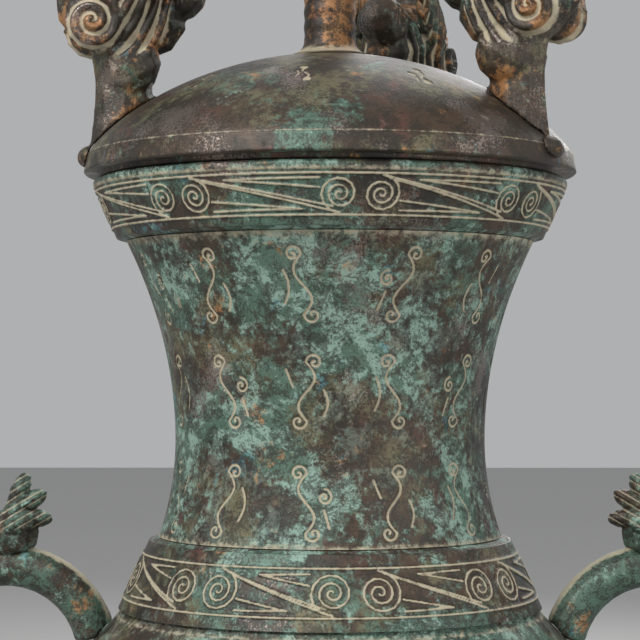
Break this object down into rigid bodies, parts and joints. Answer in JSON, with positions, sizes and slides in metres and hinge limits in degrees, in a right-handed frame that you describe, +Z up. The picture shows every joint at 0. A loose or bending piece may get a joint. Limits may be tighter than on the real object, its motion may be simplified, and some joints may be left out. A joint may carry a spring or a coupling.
{
  "type": "lidded vase",
  "caption": "Round bronze wine vase with a waisted neck, ornament bands, two loop handles and a lift-off domed lid with standing birds.",
  "frame": {"origin": "centre of the foot ring's underside", "axes": "+Z up along the vase's axis, X through the two handles, the front faces -Y"},
  "size_m": [0.2774, 0.208, 0.3835],
  "materials": {
    "body_bronze": "mottled green and dark brown patina with cream deposits",
    "lid_bronze": "dark brown patina with olive and ochre patches",
    "column_bronze": "rusty tan and brown patina",
    "figure_bronze": "grey-green patina with orange earth in the recesses",
    "handle_bronze": "dark blue-green patina with tan edges"
  },
  "bodies": {
    "vessel": {"vessel_body": "body_bronze", "handle_loop_left": "handle_bronze", "handle_loop_right": "handle_bronze", "handle_beast_left": "handle_bronze", "handle_beast_right": "handle_bronze"},
    "lid": {"lid_cover": "lid_bronze", "lid_column": "column_bronze", "column_cap": "column_bronze", "lid_bird_left": "figure_bronze", "lid_bird_right": "figure_bronze", "lid_bird_rear": "figure_bronze"}
  },
  "joints": [
    {"name": "lid_lift", "type": "slide", "parent": "vessel", "child": "lid", "axis": [0, 0, 1], "range_m": [0, 0.06]}
  ]
}
